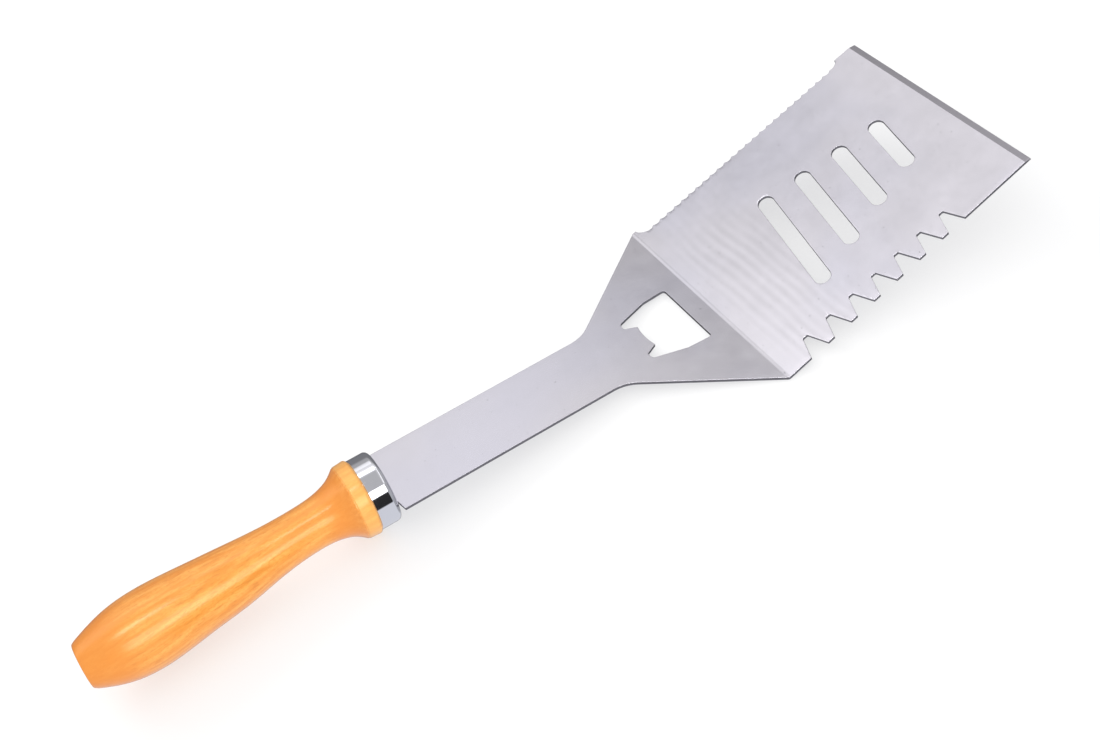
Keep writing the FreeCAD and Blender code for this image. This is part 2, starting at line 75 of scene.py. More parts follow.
# Faint press ripples across the blade just ahead of the bend, and the slower waves of the whole blade.
# A cell is the length, the width and the seed of a smooth random field.
RIPPLE_START = 5.0 * MM
RIPPLE_END = 50.0 * MM
RIPPLE_PITCH = 4.0 * MM
RIPPLE_HEIGHT = 0.016 * MM
RIPPLE_FADE = (5.0 * MM, 48.0 * MM)
RIPPLE_FADE_SHARE = 0.75
RIPPLE_WANDER = 0.4
WANDER_CELL = (30.0 * MM, 22.0 * MM, 3.7)
PATCH_CELL = (9.0 * MM, 14.0 * MM, 8.1)
PATCH_LEVEL = 0.75
PATCH_SWING = 0.6
WAVE_CELL = (34.0 * MM, 34.0 * MM, 1.3)
WAVE_HEIGHT = 0.05 * MM
WAVE_ONSET = (2.0 * MM, 20.0 * MM)
FINE_STEP = 0.45 * MM
COARSE_STEP = 3.0 * MM

# The ferrule and the handle, measured from the bend along the neck's axis
FERRULE_FRONT = 139.25 * MM
FERRULE_LENGTH = 8.05 * MM
FERRULE_RADIUS = 13.5 * MM
FERRULE_WALL = 0.6 * MM
FERRULE_ROUNDING = 1.9 * MM
LIP_LENGTH = 0.2 * MM
LIP_STEP = 0.15 * MM
TANG_OPENING = (19.4 * MM, 1.7 * MM)
COLLAR_LENGTH = 5.2 * MM
COLLAR_FRONT_RADIUS = 14.3 * MM
COLLAR_ROUNDING = 1.2 * MM
RIDGE_ROUNDING = 0.35 * MM
BUTT_ROUNDING = 0.6 * MM
BORE_RADIUS = 5.2 * MM
BORE_END = 192.0 * MM
KERF_LENGTH = 14.0 * MM
# Behind the collar, in millimetres: how far each round section is from it, its radius, and its droop
GRIP = (
    (0.0, 14.0, 0.0), (3.0, 11.6, 0.0), (6.8, 9.9, 0.1), (18.0, 8.65, 0.7),
    (31.5, 9.4, 1.9), (44.0, 11.0, 3.2), (60.0, 12.6, 4.0), (75.0, 13.9, 5.0),
    (87.5, 13.0, 5.6), (94.2, 11.1, 5.7), (101.0, 8.3, 5.5),
)

# How the turned meshes are divided: the radius of the rings that close an end, the clearance of a
# cutting solid, the arcs of the roundings in degrees and steps, and the rings across the butt
RING_STEP = 0.7 * MM
AROUND = 160
END_RADIUS = 1.0 * MM
CLEARANCE = 1.0 * MM
SHARP_ANGLE = 35.0
FERRULE_ARC = (180.0, 90.0, 12)
HOLLOW_ARC = (180.0, 90.0, 8)
COLLAR_ARC = (180.0, 90.0, 10)
RIDGE_ARC = (88.0, 8.0, 6)
BUTT_ARC = (65.0, 0.0, 6)
BUTT_SHARES = (0.8, 0.6, 0.4, 0.2)

CAMERA_PLACE = (-0.1016, -0.3485, 0.4095)
CAMERA_TURN = (43.316, 12.313, -33.155)
CAMERA_LENS = 48.45
CAMERA_SHIFT = (-0.0467, -0.0643)
CAMERA_CLIP = 0.01
SENSOR_WIDTH = 36.0

# Lamps: place, size and watts
KEY = ((-0.34, 0.95, 0.62), (1.0, 0.6), 5.0)
FILL = ((0.1, -1.2, 0.7), (1.4, 0.5), 9.0)

WHITE = (1.0, 1.0, 1.0)
PALE = (0.93, 0.93, 0.94)
FLOOR_HALF = 3.0
FLOOR_COLOURS = ((0.44, 0.44, 0.445), (0.46, 0.46, 0.46))
# The floor gives off a little light of its own, which keeps the shadows soft
TABLE_GLOW = 0.50

# The sky that glossy surfaces reflect, by the parts of its direction. A span is where a change starts
# and ends; a slope also has the levels that it goes between.
FADE_RATE = -6.5
FADE_SHARE = 0.39
FADE_BASE = 0.55
FADE_CAP = 1.12
LEFTWARD_SLOPE = (0.35, 0.85, -0.25, 0.25)
STEEPNESS_SLOPE = (0.0, 0.6, -2.9, -1.7)
OVER_SHANK = Vector((0.24, 0.68, 0.69)).normalized()
SHANK_SLOPE = (0.980, 1.0, 0.0, 0.56)
LOW_SLOPE = (0.30, 0.58, 0.6, 1.0)
LEAST_LEVEL = 0.42
LEFT_SPAN = (0.25, 0.6)
LOW_SPAN = (0.46, 0.24)
LOW_LEFT_LEVEL = 0.22
OVERHEAD_SLOPE = (0.38, 0.50, 0.84, 0.45)
NEAR_SPAN = (0.42, 0.25)
BUTT_SLOPE = (-0.65, -0.35, 0.8, 1.0)
PATCH_SPANS = ((0.13, 0.19), (0.36, 0.30), (0.2, 0.1), (0.45, 0.60))
PATCH_GREY = 0.50
CARD_SPANS = ((-0.28, -0.20), (0.42, 0.36), (0.1, -0.3), (0.03, 0.08), (0.45, 0.33))
CARD_DARKNESS = 0.97
BELOW_SLOPE = (-0.35, -0.15, 0.88, 1.0)
TINT_SPAN = (-0.3, 0.6)
TINTS = ((0.92, 0.93, 1.0), (0.99, 0.98, 1.0))
EVEN_LEVEL = 0.95
# Strip lights: strength, direction of the middle, direction of the width, half height and half width
STRIPS = (
    (1.6, (0.28, 0.30, 0.91), (1.0, 0.0, 0.0), 5.5, 7.0),
    (6.5, (-0.13, -0.18, 1.0), (1.0, 0.0, 0.0), 3.5, 15.0),
    (2.6, (0.0, -0.83, 0.58), (1.0, 0.0, 0.0), 12.0, 21.0),
    (1.7, (0.68, -0.10, 0.72), (0.0, 1.0, 0.0), 3.5, 27.0),
)
STRIP_EDGE = 0.03
STRIP_FACING = (0.02, 0.1)

# Surfaces: pairs of colours that a texture mixes, and the spans of the texture that it mixes over
SHEET_COLOURS = ((0.735, 0.725, 0.795), (0.760, 0.742, 0.785))
SHEET_WARMTH_SPAN = (0.35, 0.65)
SHEET_SHADE = (0.30, 0.70, 0.935, 1.01)
SHEET_PITS = (0.74, 0.80, 1.0, 0.72)
SHEET_ROUGHNESS = (0.3, 0.7, 0.17, 0.22)
ROLLED_STRETCH = (420.0, 30.0, 420.0)
# The cut walls are duller steel, darkened further with painted shade
CUT_SHADE_COLOURS = ((0.16, 0.155, 0.17), (0.34, 0.33, 0.35))
CUT_STRETCH = (2600.0, 2600.0, 300.0)
GROUND_COLOURS = ((0.45, 0.435, 0.47), (0.56, 0.545, 0.58))
GROUND_STRETCH = (250.0, 3000.0, 250.0)
CHROME_COLOUR = (0.86, 0.87, 0.91)
CHROME_ROUGHNESS = (0.3, 0.7, 0.04, 0.09)
GLUE_COLOURS = ((0.55, 0.50, 0.38), (0.68, 0.63, 0.50))

# Wood: its heart lies beside and above the handle, and the rings lean along it
HEART_SIDE = 0.035
HEART_HEIGHT = 0.045
RING_LEAN = 0.10
RING_PITCH = 0.0042
RING_WANDER = 0.008
RING_SPAN = (-0.2, 1.0)
RING_SHARE = 0.32
RING_COLOUR = (0.82, 0.27, 0.030)
FIBRE_COLOURS = ((0.755, 0.262, 0.036), (0.865, 0.385, 0.080))
FIBRE_STRETCH = (25.0, 700.0, 700.0)
FIBRE_SPAN = (0.35, 0.65)
PORE_COLOUR = (0.58, 0.15, 0.018)
PORE_STRETCH = (260.0, 1500.0, 1500.0)
PORE_SLOPE = (0.58, 0.72, 0.0, 0.40)
SPECKLE_COLOUR = (0.70, 0.20, 0.024)
SPECKLE_STRETCH = (900.0, 2200.0, 2200.0)
SPECKLE_SLOPE = (0.48, 0.66, 0.0, 0.42)
# Along the neck's direction from the model's origin: painted shade in the hollow and at the end (there
# partly lacquer soaked into end grain), and a painted highlight on the collar
HOLLOW_PLACE = 0.0900
HOLLOW_SHADE_SLOPE = (0.002, 0.008, 1.0, 0.0)
END_SHADE_SPAN = (-0.161, -0.177)
PAINTED_SHADE_SHARE = 0.8
PAINTED_SHADE_COLOUR = (0.76, 0.235, 0.026)
# A painted highlight lightens the collar towards pale yellow
COLLAR_HIGHLIGHT_SLOPE = (-0.0851, -0.0843, 0.0, 0.45)
COLLAR_HIGHLIGHT_COLOUR = (0.88, 0.50, 0.145)
LACQUER_TINT = (1.0, 0.90, 0.42)


class Nodes:
    """A short way to write a node tree: nodes are added and joined by calls."""

    def __init__(self, tree):
        self.tree = tree
        tree.nodes.clear()

    def add(self, kind, settings=None, **inputs):
        node = self.tree.nodes.new(kind)
        for name, value in (settings or {}).items():
            setattr(node, name, value)
        for name, value in inputs.items():
            self.put(node, name.replace("_", " "), value)
        return node

    def put(self, node, name, value):
        """Links or sets an input, which is given by its name, or as in0, in1 and so on."""
        by_number = name.startswith("in") and name[2:].isdigit()
        socket = node.inputs[int(name[2:]) if by_number else name]
        if isinstance(value, bpy.types.NodeSocket):
            self.tree.links.new(value, socket)
        elif isinstance(value, (tuple, list)) and len(value) == 3 and socket.type == "RGBA":
            socket.default_value = (*value, 1.0)
        else:
            socket.default_value = value

    def math(self, operation, *values):
        node = self.add("ShaderNodeMath", {"operation": operation})
        for place, value in enumerate(values):
            self.put(node, f"in{place}", value)
        return node.outputs[0]

    def product(self, first, *others):
        for other in others:
            first = self.math("MULTIPLY", first, other)
        return first

    def dot(self, vector, direction):
        node = self.add("ShaderNodeVectorMath", {"operation": "DOT_PRODUCT"})
        self.put(node, "in0", vector)
        self.put(node, "in1", direction)
        return node.outputs["Value"]

    def ramp(self, value, low, high, to_low=0.0, to_high=1.0, kind="SMOOTHSTEP"):
        node = self.add("ShaderNodeMapRange", {"interpolation_type": kind}, Value=value)
        limits = {"From Min": low, "From Max": high, "To Min": to_low, "To Max": to_high}
        for name, amount in limits.items():
            self.put(node, name, amount)
        return node.outputs["Result"]

    def between(self, share, first, second):
        """Goes from the first number to the second as the share goes from 0 to 1."""
        return self.ramp(share, 0.0, 1.0, first, second, "LINEAR")

    def mix(self, factor, first, second, blend="MIX"):
        node = self.add("ShaderNodeMix", {"data_type": "RGBA", "blend_type": blend})
        self.put(node, "in0", factor)
        self.put(node, "in6", first)
        self.put(node, "in7", second)
        return node.outputs[2]

    def place(self):
        return self.add("ShaderNodeTexCoord").outputs["Object"]

    def noise(self, place, **inputs):
        return self.add("ShaderNodeTexNoise", Vector=place, **inputs).outputs["Fac"]

    def streaks(self, place, stretch, detail):
        """Noise in cells that are short where the stretch is large."""
        stretched = self.add("ShaderNodeMapping", Vector=place, Scale=stretch)
        return self.noise(stretched.outputs[0], Scale=1.0, Detail=detail)

    def bump(self, height, strength, distance):
        return self.add("ShaderNodeBump", Strength=strength, Distance=distance, Height=height).outputs[0]

    def surface(self, colour, normal=None, **inputs):
        """A Principled surface of this colour, joined to the output."""
        shader = self.add("ShaderNodeBsdfPrincipled", Base_Color=colour, **inputs)
        if normal:
            self.put(shader, "Normal", normal)
        self.add("ShaderNodeOutputMaterial", Surface=shader.outputs[0])
        return shader


def new_material(name):
    material = bpy.data.materials.new(name)
    material.use_nodes = True
    return material, Nodes(material.node_tree)


def new_object(name, data):
    made = bpy.data.objects.new(name, data)
    bpy.context.scene.collection.objects.link(made)
    return made


# --- Studio ------------------------------------------------------------------------------------


def strip_light(nodes, direction, toward, across, half_height, half_width):
    """How much of a soft rectangular light lies in a direction of the sky: 1 inside, 0 outside.

    toward points at its middle, across runs along its width, and the half sizes are angles."""
    forward = Vector(toward).normalized()
    side = Vector(across) - forward * forward.dot(Vector(across))
    side.normalize()
    up = side.cross(forward)
    depth = nodes.dot(direction, forward)
    inside = nodes.ramp(depth, *STRIP_FACING)
    safe_depth = nodes.math("MAXIMUM", depth, STRIP_FACING[0])
    for axis, half in ((side, half_width), (up, half_height)):
        slope = nodes.math("DIVIDE", nodes.dot(direction, axis), safe_depth)
        slope = nodes.math("ABSOLUTE", slope)
        half_slope = math.tan(math.radians(half))
        strip = nodes.ramp(slope, half_slope - STRIP_EDGE, half_slope + STRIP_EDGE, 1.0, 0.0)
        inside = nodes.product(inside, strip)
    return inside


def level_over_sheet(nodes, direction, x, y, z):
    """What the sheet reflects: it falls off past the blade's front and to its left, and glows over the
    shank."""
    fade = nodes.product(nodes.math("EXPONENT", nodes.product(x, FADE_RATE)), FADE_SHARE)
    level = nodes.math("MINIMUM", nodes.math("ADD", fade, FADE_BASE), FADE_CAP)
    leftward = nodes.ramp(y, *LEFTWARD_SLOPE, kind="LINEAR")
    steepness = nodes.ramp(x, *STEEPNESS_SLOPE, kind="LINEAR")
    level = nodes.math("ADD", level, nodes.product(leftward, steepness))
    level = nodes.math("ADD", level, nodes.ramp(nodes.dot(direction, OVER_SHANK), *SHANK_SLOPE))
    level = nodes.product(level, nodes.ramp(z, *LOW_SLOPE))
    level = nodes.math("MAXIMUM", level, LEAST_LEVEL)
    low_left = nodes.product(nodes.ramp(y, *LEFT_SPAN), nodes.ramp(z, *LOW_SPAN))
    return nodes.between(low_left, level, LOW_LEFT_LEVEL)


def level_near_side(nodes, level, x, y, z):
    """What the lacquer and the ferrule reflect: even light overhead and on the camera's side, dimmer
    past the butt, with a grey patch over the ferrule."""
    overhead = nodes.ramp(x, *OVERHEAD_SLOPE)
    level = nodes.between(nodes.ramp(y, *NEAR_SPAN), level, overhead)
    level = nodes.product(level, nodes.ramp(x, *BUTT_SLOPE))
    ahead, behind, near, high = (
        nodes.ramp(part, *span) for part, span in zip((x, x, y, z), PATCH_SPANS)
    )
    patch = nodes.product(nodes.product(near, high), nodes.product(ahead, behind))
    return nodes.between(patch, level, PATCH_GREY)


def black_card(nodes, x, y, z):
    """A black card low on the camera's side, which darkens part of the ferrule."""
    over, under, near, ahead, behind = (
        nodes.ramp(part, *span) for part, span in zip((z, z, y, x, x), CARD_SPANS)
    )
    card = nodes.product(over, under, near)
    return nodes.product(card, nodes.product(ahead, behind), CARD_DARKNESS)


def make_world():
    """The studio around the object. It isn't a real room: the camera sees a pale backdrop, dull surfaces
    get even light, and only glossy ones reflect the sky that is built here."""
    world = bpy.data.worlds.new("studio")
    world.use_nodes = True
    bpy.context.scene.world = world
    nodes = Nodes(world.node_tree)
    direction = nodes.add("ShaderNodeTexCoord").outputs["Generated"]
    x, y, z = nodes.add("ShaderNodeSeparateXYZ", Vector=direction).outputs

    level = level_over_sheet(nodes, direction, x, y, z)
    level = level_near_side(nodes, level, x, y, z)
    for strength, *shape in STRIPS:
        light = strip_light(nodes, direction, *shape)
        level = nodes.math("ADD", level, nodes.product(light, strength))
    level = nodes.product(level, nodes.math("SUBTRACT", 1.0, black_card(nodes, x, y, z)))
    level = nodes.product(level, nodes.ramp(z, *BELOW_SLOPE))
    tint = nodes.mix(nodes.ramp(z, *TINT_SPAN), *TINTS)

    sky = nodes.add("ShaderNodeBackground", Color=tint, Strength=level)
    even = nodes.add("ShaderNodeBackground", Color=WHITE, Strength=EVEN_LEVEL)
    backdrop = nodes.add("ShaderNodeBackground", Color=PALE, Strength=1.0)
    path = nodes.add("ShaderNodeLightPath")
    seen = even
    for ray, surroundings in (("Is Glossy Ray", sky), ("Is Camera Ray", backdrop)):
        either = nodes.add("ShaderNodeMixShader")
        nodes.put(either, "in0", path.outputs[ray])
        nodes.put(either, "in1", seen.outputs[0])
        nodes.put(either, "in2", surroundings.outputs[0])
        seen = either
    nodes.add("ShaderNodeOutputWorld", Surface=seen.outputs[0])


def make_floor():
    """A pale floor that reflections don't show."""
    mesh = bpy.data.meshes.new("floor")
    signs = ((-1, -1), (1, -1), (1, 1), (-1, 1))
    mesh.from_pydata([(sx * FLOOR_HALF, sy * FLOOR_HALF, 0.0) for sx, sy in signs], [], [(0, 1, 2, 3)])
    floor = new_object("floor", mesh)
    material, nodes = new_material("floor_paper")
    mottle = nodes.add("ShaderNodeTexNoise", Scale=3.0, Detail=3.0)
    lit = nodes.add("ShaderNodeBsdfDiffuse", Color=nodes.mix(mottle.outputs["Fac"], *FLOOR_COLOURS))
    glow = nodes.add("ShaderNodeEmission", Color=WHITE, Strength=TABLE_GLOW)
    shader = nodes.add("ShaderNodeAddShader")
    nodes.put(shader, "in0", lit.outputs[0])
    nodes.put(shader, "in1", glow.outputs[0])
    nodes.add("ShaderNodeOutputMaterial", Surface=shader.outputs[0])
    mesh.materials.append(material)
    floor.visible_glossy = False


def add_light(name, place, size, watts, casts_shadow=True):
    """A rectangular lamp aimed at the middle of the object, which reflections don't show."""
    light = bpy.data.lights.new(name, "AREA")
    light.shape = "RECTANGLE"
    light.size, light.size_y = size
    light.energy = watts
    light.use_shadow = casts_shadow
    lamp = new_object(name, light)
    lamp.location = place
    lamp.rotation_euler = (-Vector(place)).to_track_quat("-Z", "Y").to_euler()
    lamp.visible_glossy = False


def make_camera():
    camera = bpy.data.cameras.new("camera")
    camera.lens = CAMERA_LENS
    camera.sensor_width = SENSOR_WIDTH
    camera.sensor_fit = "HORIZONTAL"
    camera.shift_x, camera.shift_y = CAMERA_SHIFT
    camera.clip_start = CAMERA_CLIP
    seat = new_object("camera", camera)
    seat.location = CAMERA_PLACE
    seat.rotation_euler = [math.radians(angle) for angle in CAMERA_TURN]
    bpy.context.scene.camera = seat


# --- Materials ---------------------------------------------------------------------------------


def satin_steel():
    """Rolled stainless sheet: softly reflecting, faintly clouded, with fine marks and a few specks."""
    material, nodes = new_material("satin_steel")
    place = nodes.place()
    cloud = nodes.noise(place, Scale=75.0, Detail=4.0, Roughness=0.65)
    warmth = nodes.noise(place, Scale=17.0, Detail=2.0)
    base = nodes.mix(nodes.ramp(warmth, *SHEET_WARMTH_SPAN), *SHEET_COLOURS)
    shade = nodes.ramp(cloud, *SHEET_SHADE, kind="LINEAR")
    specks = nodes.noise(place, Scale=900.0, Detail=1.0)
    shade = nodes.product(shade, nodes.ramp(specks, *SHEET_PITS))
    grey = nodes.add("ShaderNodeCombineColor", Red=shade, Green=shade, Blue=shade)
    colour = nodes.mix(1.0, base, grey.outputs[0], "MULTIPLY")
    rough = nodes.ramp(cloud, *SHEET_ROUGHNESS, kind="LINEAR")
    normal = nodes.bump(nodes.streaks(place, ROLLED_STRETCH, 3.0), 0.12, 0.02 * MM)
    nodes.surface(colour, normal, Metallic=1.0, Roughness=rough)
    return material


def streaked_steel(name, colours, stretch, strength, distance, roughness):
    """Bare worked steel whose colour and relief follow the same marks."""
    material, nodes = new_material(name)
    marks = nodes.streaks(nodes.place(), stretch, 2.0)
    normal = nodes.bump(marks, strength, distance)
    nodes.surface(nodes.mix(marks, *colours), normal, Metallic=1.0, Roughness=roughness)
    return material


def sheared_steel():
    """The cut walls of the sheet: duller, with the tool's drag marks, and darkened with painted shade."""
    return streaked_steel("sheared_steel", CUT_SHADE_COLOURS, CUT_STRETCH, 0.5, 0.03 * MM, 0.4)


def ground_steel():
    """The bevel at the front edge, with the marks of grinding."""
    return streaked_steel("ground_steel", GROUND_COLOURS, GROUND_STRETCH, 0.3, 0.01 * MM, 0.3)


def chrome():
    """Bright plating with a faint haze."""
    material, nodes = new_material("chrome_plate")
    haze = nodes.noise(nodes.place(), Scale=160.0, Detail=3.0)
    rough = nodes.ramp(haze, *CHROME_ROUGHNESS, kind="LINEAR")
    nodes.surface(CHROME_COLOUR, Metallic=1.0, Roughness=rough)
    return material


def growth_rings(nodes, place):
    """The dark part of each growth ring: 1 in it, 0 outside."""
    along, across, up = nodes.add("ShaderNodeSeparateXYZ", Vector=place).outputs
    wander = nodes.product(nodes.noise(place, Scale=18.0, Detail=2.0), RING_WANDER)
    lean = nodes.product(along, RING_LEAN)
    side = nodes.math("ADD", nodes.math("ADD", across, HEART_SIDE), lean)
    height = nodes.math("SUBTRACT", up, HEART_HEIGHT)
    square = nodes.math("ADD", nodes.product(side, side), nodes.product(height, height))
    radius = nodes.math("ADD", nodes.math("SQRT", square), wander)
    ring = nodes.math("SINE", nodes.product(radius, 2.0 * math.pi / RING_PITCH))
    return nodes.ramp(ring, *RING_SPAN)


def lacquered_wood():
    """Pale hardwood under honey-coloured lacquer: growth rings, fine fibres and short dark pores."""
    material, nodes = new_material("lacquered_wood")
    place = nodes.place()
    fibre = nodes.streaks(place, FIBRE_STRETCH, 4.0)
    pore = nodes.streaks(place, PORE_STRETCH, 1.0)
    speckle = nodes.streaks(place, SPECKLE_STRETCH, 2.0)
    along = nodes.dot(place, NECK_FORWARD)
    from_hollow = nodes.math("ABSOLUTE", nodes.math("ADD", along, HOLLOW_PLACE))
    # painted shade: darker in the hollow of the grip and towards the butt, at the butt partly for lacquer
    # soaked into the end grain
    painted_shade = nodes.math("MAXIMUM", nodes.ramp(from_hollow, *HOLLOW_SHADE_SLOPE), nodes.ramp(along, *END_SHADE_SPAN))
    colour = nodes.mix(nodes.ramp(fibre, *FIBRE_SPAN), *FIBRE_COLOURS)
    layers = (
        (nodes.product(growth_rings(nodes, place), RING_SHARE), RING_COLOUR),
        (nodes.ramp(pore, *PORE_SLOPE), PORE_COLOUR),
        (nodes.ramp(speckle, *SPECKLE_SLOPE), SPECKLE_COLOUR),
        (nodes.product(painted_shade, PAINTED_SHADE_SHARE), PAINTED_SHADE_COLOUR),
        # painted highlight: the collar is lightened where the lacquer's broad highlight lies
        (nodes.ramp(along, *COLLAR_HIGHLIGHT_SLOPE), COLLAR_HIGHLIGHT_COLOUR),
    )
    for share, layer in layers:
        colour = nodes.mix(share, colour, layer)
    normal = nodes.bump(nodes.noise(place, Scale=420.0, Detail=2.0), 0.35, 0.06 * MM)
    shader = nodes.surface(colour, normal, Roughness=0.32, Coat_Weight=0.6, Coat_Roughness=0.16)
    nodes.put(shader, "Coat Normal", normal)
    nodes.put(shader, "Specular Tint", LACQUER_TINT)
    nodes.put(shader, "Specular IOR Level", 1.0)
    return material


def glue():
    """Cloudy adhesive, which fills the bore out of sight."""
    material, nodes = new_material("adhesive")
    cloud = nodes.noise(nodes.place(), Scale=80.0, Detail=3.0)
    nodes.surface(nodes.mix(cloud, *GLUE_COLOURS), Roughness=0.5)
    return material


# --- Blade -------------------------------------------------------------------------------------


def bend_place():
    """Where the bend lies along X, worked out from the blade's front edge, at the blade's lowest point."""
    low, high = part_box("blade")
    pitch = math.radians(BLADE_PITCH)
    half = SHEET_THICKNESS / 2
    forward = high.x - BLADE_LENGTH * math.cos(pitch) - half * math.sin(pitch)
    return Vector((forward, 0.0, low.z))


def ease(value, low, high):
    """0 at low, 1 at high, and smooth between them."""
    share = min(max((value - low) / (high - low), 0.0), 1.0)
    return share * share * (3.0 - 2.0 * share)


def drift(distance, side, cell):
    """A smooth random field over the blade."""
    length, width, seed = cell
    return noise.noise(Vector((distance / length, side / width, seed)))


def sheet_rise(distance, side):
    """How far the sheet stands off its flat plane at a place on the blade."""
    share = min(max((distance - RIPPLE_START) / (RIPPLE_END - RIPPLE_START), 0.0), 1.0)
    strength = math.sin(math.pi * math.sqrt(share)) * (1.0 - RIPPLE_FADE_SHARE * ease(side, *RIPPLE_FADE))
    wander = RIPPLE_WANDER * drift(distance, side, WANDER_CELL)
    ripple = math.sin(2.0 * math.pi * (distance / RIPPLE_PITCH + wander))
    patch = PATCH_LEVEL + PATCH_SWING * drift(distance, side, PATCH_CELL)
    wave = WAVE_HEIGHT * drift(distance, side, WAVE_CELL) * ease(distance, *WAVE_ONSET)
    return RIPPLE_HEIGHT * strength * patch * ripple + wave


def cut_across(shape, place, normal):
    everything = shape.verts[:] + shape.edges[:] + shape.faces[:]
    bmesh.ops.bisect_plane(shape, geom=everything, dist=WELD, plane_co=place, plane_no=normal)


def make_blade():
    """The CAD blade's own surface, with its edges broken and cut finely enough to carry the ripples."""
    shape = bmesh.new()
    shape.from_mesh(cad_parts["blade"].data)
    bmesh.ops.remove_doubles(shape, verts=shape.verts, dist=WELD)
    flat = math.radians(FLAT_ANGLE)
    bmesh.ops.dissolve_limit(shape, angle_limit=flat, verts=shape.verts, edges=shape.edges)
    broken = math.radians(BROKEN_ANGLE)
    sharp = [edge for edge in shape.edges if edge.is_manifold and edge.calc_face_angle() > broken]
    bmesh.ops.bevel(shape, geom=sharp, offset=BROKEN_EDGE, segments=BREAK_STEPS, profile=0.5,
                    affect="EDGES", clamp_overlap=False)
    bend = bend_place()
    distance = RIPPLE_START
    while distance < BLADE_LENGTH - BEVEL_LENGTH:
        cut_across(shape, bend + BLADE_FORWARD * distance, BLADE_FORWARD)
        distance += FINE_STEP if distance < RIPPLE_END else COARSE_STEP
    half_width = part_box("blade")[1].y
    side = -half_width + COARSE_STEP
    while side < half_width:
        cut_across(shape, LEFT * side, LEFT)
        side += COARSE_STEP
    for vertex in shape.verts:
        distance = (vertex.co - bend).dot(BLADE_FORWARD)
        if distance > 0.0:
            vertex.co += BLADE_UP * sheet_rise(distance, vertex.co.y)
    shape.normal_update()
    for face in shape.faces:
        face.smooth = True
        distance = (face.calc_center_median() - bend).dot(BLADE_FORWARD)
        facing = abs(face.normal.dot(BLADE_UP if distance > 0.0 else NECK_UP))
        on_bevel = distance > BLADE_LENGTH - BEVEL_LENGTH - BROKEN_EDGE and facing < BEVEL_FACING
        face.material_index = 1 if facing < WALL_FACING else 2 if on_bevel else 0
    for edge in shape.edges:
        # the line between the sheet and its bevel stays crisp
        edge.smooth = sorted(face.material_index for face in edge.link_faces) != [0, 2]
    mesh = bpy.data.meshes.new("blade_sheet")
    shape.to_mesh(mesh)
    shape.free()
    for material in (satin_steel(), sheared_steel(), ground_steel()):
        mesh.materials.append(material)
    blade = new_object("blade_sheet", mesh)
    weighted = blade.modifiers.new("weighted_normals", "WEIGHTED_NORMAL")
    weighted.weight = NORMAL_WEIGHT
    weighted.keep_sharp = True
    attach(blade, "root")
    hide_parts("blade")


# --- Ferrule and handle ------------------------------------------------------------------------


def neck_origin():
    """The middle of the bend line inside the sheet, where the neck's axis starts."""
    bend = bend_place()
    return Vector((bend.x, 0.0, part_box("blade")[0].z + BEND_HEIGHT))


def on_axis(distance, drop=0.0):
    """A place on the neck's axis, behind the bend, or below it by the drop."""
    return neck_origin() - NECK_FORWARD * distance - NECK_UP * drop


def spline(knots, values, places):
    """A smooth curve through the values at the knots, read off at the places."""
    count = len(knots)
    gaps = np.diff(knots)
    system = np.zeros((count, count))
    system[0, 0] = system[-1, -1] = 1.0
    wanted = np.zeros(count)
    slopes = np.diff(values) / gaps
    for row in range(1, count - 1):
        system[row, row - 1:row + 2] = gaps[row - 1], 2.0 * (gaps[row - 1] + gaps[row]), gaps[row]
        wanted[row] = 6.0 * (slopes[row] - slopes[row - 1])
    bends = np.linalg.solve(system, wanted)
    part = np.clip(np.searchsorted(knots, places, side="right") - 1, 0, count - 2)
    gap, rest, gone = gaps[part], knots[part + 1] - places, places - knots[part]
    curve = (bends[part] * rest ** 3 + bends[part + 1] * gone ** 3) / (6.0 * gap)
    curve += (values[part] / gap - bends[part] * gap / 6.0) * rest
    return curve + (values[part + 1] / gap - bends[part + 1] * gap / 6.0) * gone


def arc(distance, height, radius, start, end, steps):
    """Points of a profile along an arc about a centre: distance along the axis, and from it."""
    points = []
    for step in range(steps + 1):
        angle = math.radians(start + (end - start) * step / steps)
        points.append((distance + radius * math.cos(angle), height + radius * math.sin(angle)))
    return points


def closed_solid(name, loops):
    """A solid skinned over loops of points, with flat ends."""
    shape = bmesh.new()
    rings = [[shape.verts.new(point) for point in loop] for loop in loops]
    for ring, following in zip(rings, rings[1:]):
        for step in range(len(ring)):
            after = (step + 1) % len(ring)
            shape.faces.new((ring[step], ring[after], following[after], following[step]))
    shape.faces.new(rings[0])
    shape.faces.new(rings[-1])
    bmesh.ops.recalc_face_normals(shape, faces=shape.faces)
    mesh = bpy.data.meshes.new(name)
    shape.to_mesh(mesh)
    shape.free()
    return new_object(name, mesh)


def turned(name, profile):
    """A solid of round rings: each is a distance behind the bend, a radius and a drop of its centre."""
    turns = [2.0 * math.pi * step / AROUND for step in range(AROUND)]
    spokes = [LEFT * math.cos(turn) + NECK_UP * math.sin(turn) for turn in turns]
    loops = []
    for distance, radius, drop in profile:
        centre = on_axis(distance, drop)
        loops.append([centre + spoke * radius for spoke in spokes])
    return closed_solid(name, loops)


def flat_opening(near, far):
    """The solid that the flat tang passes through, between two distances behind the bend."""
    width, height = TANG_OPENING
    signs = ((-1, -1), (1, -1), (1, 1), (-1, 1))
    return closed_solid("opening", [
        [on_axis(distance, -up * height / 2) + LEFT * (across * width / 2) for across, up in signs]
        for distance in (near, far)
    ])


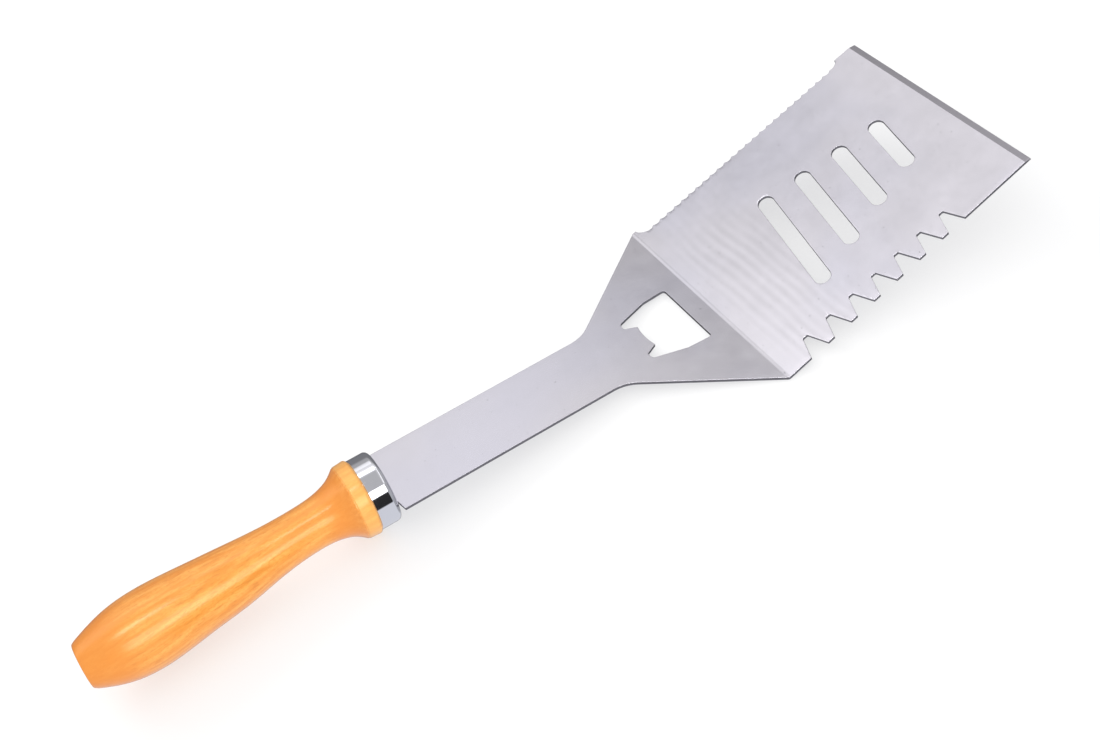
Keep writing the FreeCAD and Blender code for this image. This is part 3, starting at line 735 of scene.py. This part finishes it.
def hollowed(solid, tools):
    """The solid with the tools cut out of it for good; the tools go."""
    for tool in tools:
        cutter = solid.modifiers.new("cut", "BOOLEAN")
        cutter.operation = "DIFFERENCE"
        cutter.solver = "EXACT"
        cutter.object = tool
    ready = solid.evaluated_get(bpy.context.evaluated_depsgraph_get())
    mesh = bpy.data.meshes.new_from_object(ready)
    solid.modifiers.clear()
    solid.data = mesh
    for tool in tools:
        bpy.data.objects.remove(tool)
    mesh.polygons.foreach_set("use_smooth", [True] * len(mesh.polygons))
    mesh.set_sharp_from_angle(angle=math.radians(SHARP_ANGLE))
    return solid


def finish_piece(solid, node, material):
    solid.data.materials.clear()
    solid.data.materials.append(material)
    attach(solid, "root")
    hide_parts(node)


def make_ferrule():
    """A drawn cap with a rounded front edge, open at the back and slotted for the tang."""
    front, rear = FERRULE_FRONT, FERRULE_FRONT + FERRULE_LENGTH
    centre = front + FERRULE_ROUNDING
    outside = [(front, END_RADIUS), (front, FERRULE_RADIUS / 2)]
    outside += arc(centre, FERRULE_RADIUS - FERRULE_ROUNDING, FERRULE_ROUNDING, *FERRULE_ARC)
    outside += [(rear - LIP_LENGTH, FERRULE_RADIUS), (rear, FERRULE_RADIUS - LIP_STEP)]
    shell = turned("ferrule_cap", [(distance, radius, 0.0) for distance, radius in outside])
    inner = FERRULE_RADIUS - FERRULE_WALL
    small = FERRULE_ROUNDING - FERRULE_WALL
    inside = [(front + FERRULE_WALL, END_RADIUS)]
    inside += arc(centre, inner - small, small, *HOLLOW_ARC)
    inside += [(rear + CLEARANCE, inner)]
    hollow = turned("hollow", [(distance, radius, 0.0) for distance, radius in inside])
    opening = flat_opening(front - CLEARANCE, front + 2.0 * FERRULE_ROUNDING)
    finish_piece(hollowed(shell, [hollow, opening]), "ferrule", chrome())


def make_handle():
    """Turned wood: the spigot under the ferrule, the collar, and the drooping grip behind it."""
    spigot_front = FERRULE_FRONT + FERRULE_ROUNDING
    spigot = FERRULE_RADIUS - FERRULE_WALL
    collar_front = FERRULE_FRONT + FERRULE_LENGTH
    collar_rear = collar_front + COLLAR_LENGTH
    knots, radii, drops = (np.array(column) * MM for column in zip(*GRIP))
    butt = collar_rear + knots[-1]
    profile = [(spigot_front, END_RADIUS), (spigot_front, spigot), (collar_front, spigot)]
    profile += arc(collar_front + COLLAR_ROUNDING, COLLAR_FRONT_RADIUS - COLLAR_ROUNDING, COLLAR_ROUNDING,
                   *COLLAR_ARC)
    profile += arc(collar_rear - RIDGE_ROUNDING, radii[0] - RIDGE_ROUNDING, RIDGE_ROUNDING, *RIDGE_ARC)
    rings = [(distance, radius, 0.0) for distance, radius in profile]
    places = np.arange(RIDGE_ROUNDING, knots[-1] - BUTT_ROUNDING, RING_STEP)
    for place, radius, drop in zip(places, spline(knots, radii, places), spline(knots, drops, places)):
        rings.append((collar_rear + place, radius, drop))
    rounding = arc(butt - BUTT_ROUNDING, radii[-1] - BUTT_ROUNDING, BUTT_ROUNDING, *BUTT_ARC)
    rings += [(distance, radius, drops[-1]) for distance, radius in rounding]
    rings += [(butt, radii[-1] * share, drops[-1]) for share in BUTT_SHARES]
    grip = turned("handle_wood", rings)
    kerf = flat_opening(spigot_front - CLEARANCE, spigot_front + KERF_LENGTH)
    bore = turned("bore", [(spigot_front - CLEARANCE, BORE_RADIUS, 0.0), (BORE_END, BORE_RADIUS, 0.0)])
    finish_piece(hollowed(grip, [kerf, bore]), "handle", lacquered_wood())


def dress(node, material):
    """Gives a CAD node that stays as it is its material."""
    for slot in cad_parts[node].material_slots:
        slot.material = material


make_camera()
make_world()
make_floor()
add_light("key", *KEY)
add_light("fill", *FILL, casts_shadow=False)
make_blade()
make_ferrule()
make_handle()
dress("tang_glue", glue())
bpy.context.scene.view_settings.view_transform = "Standard"
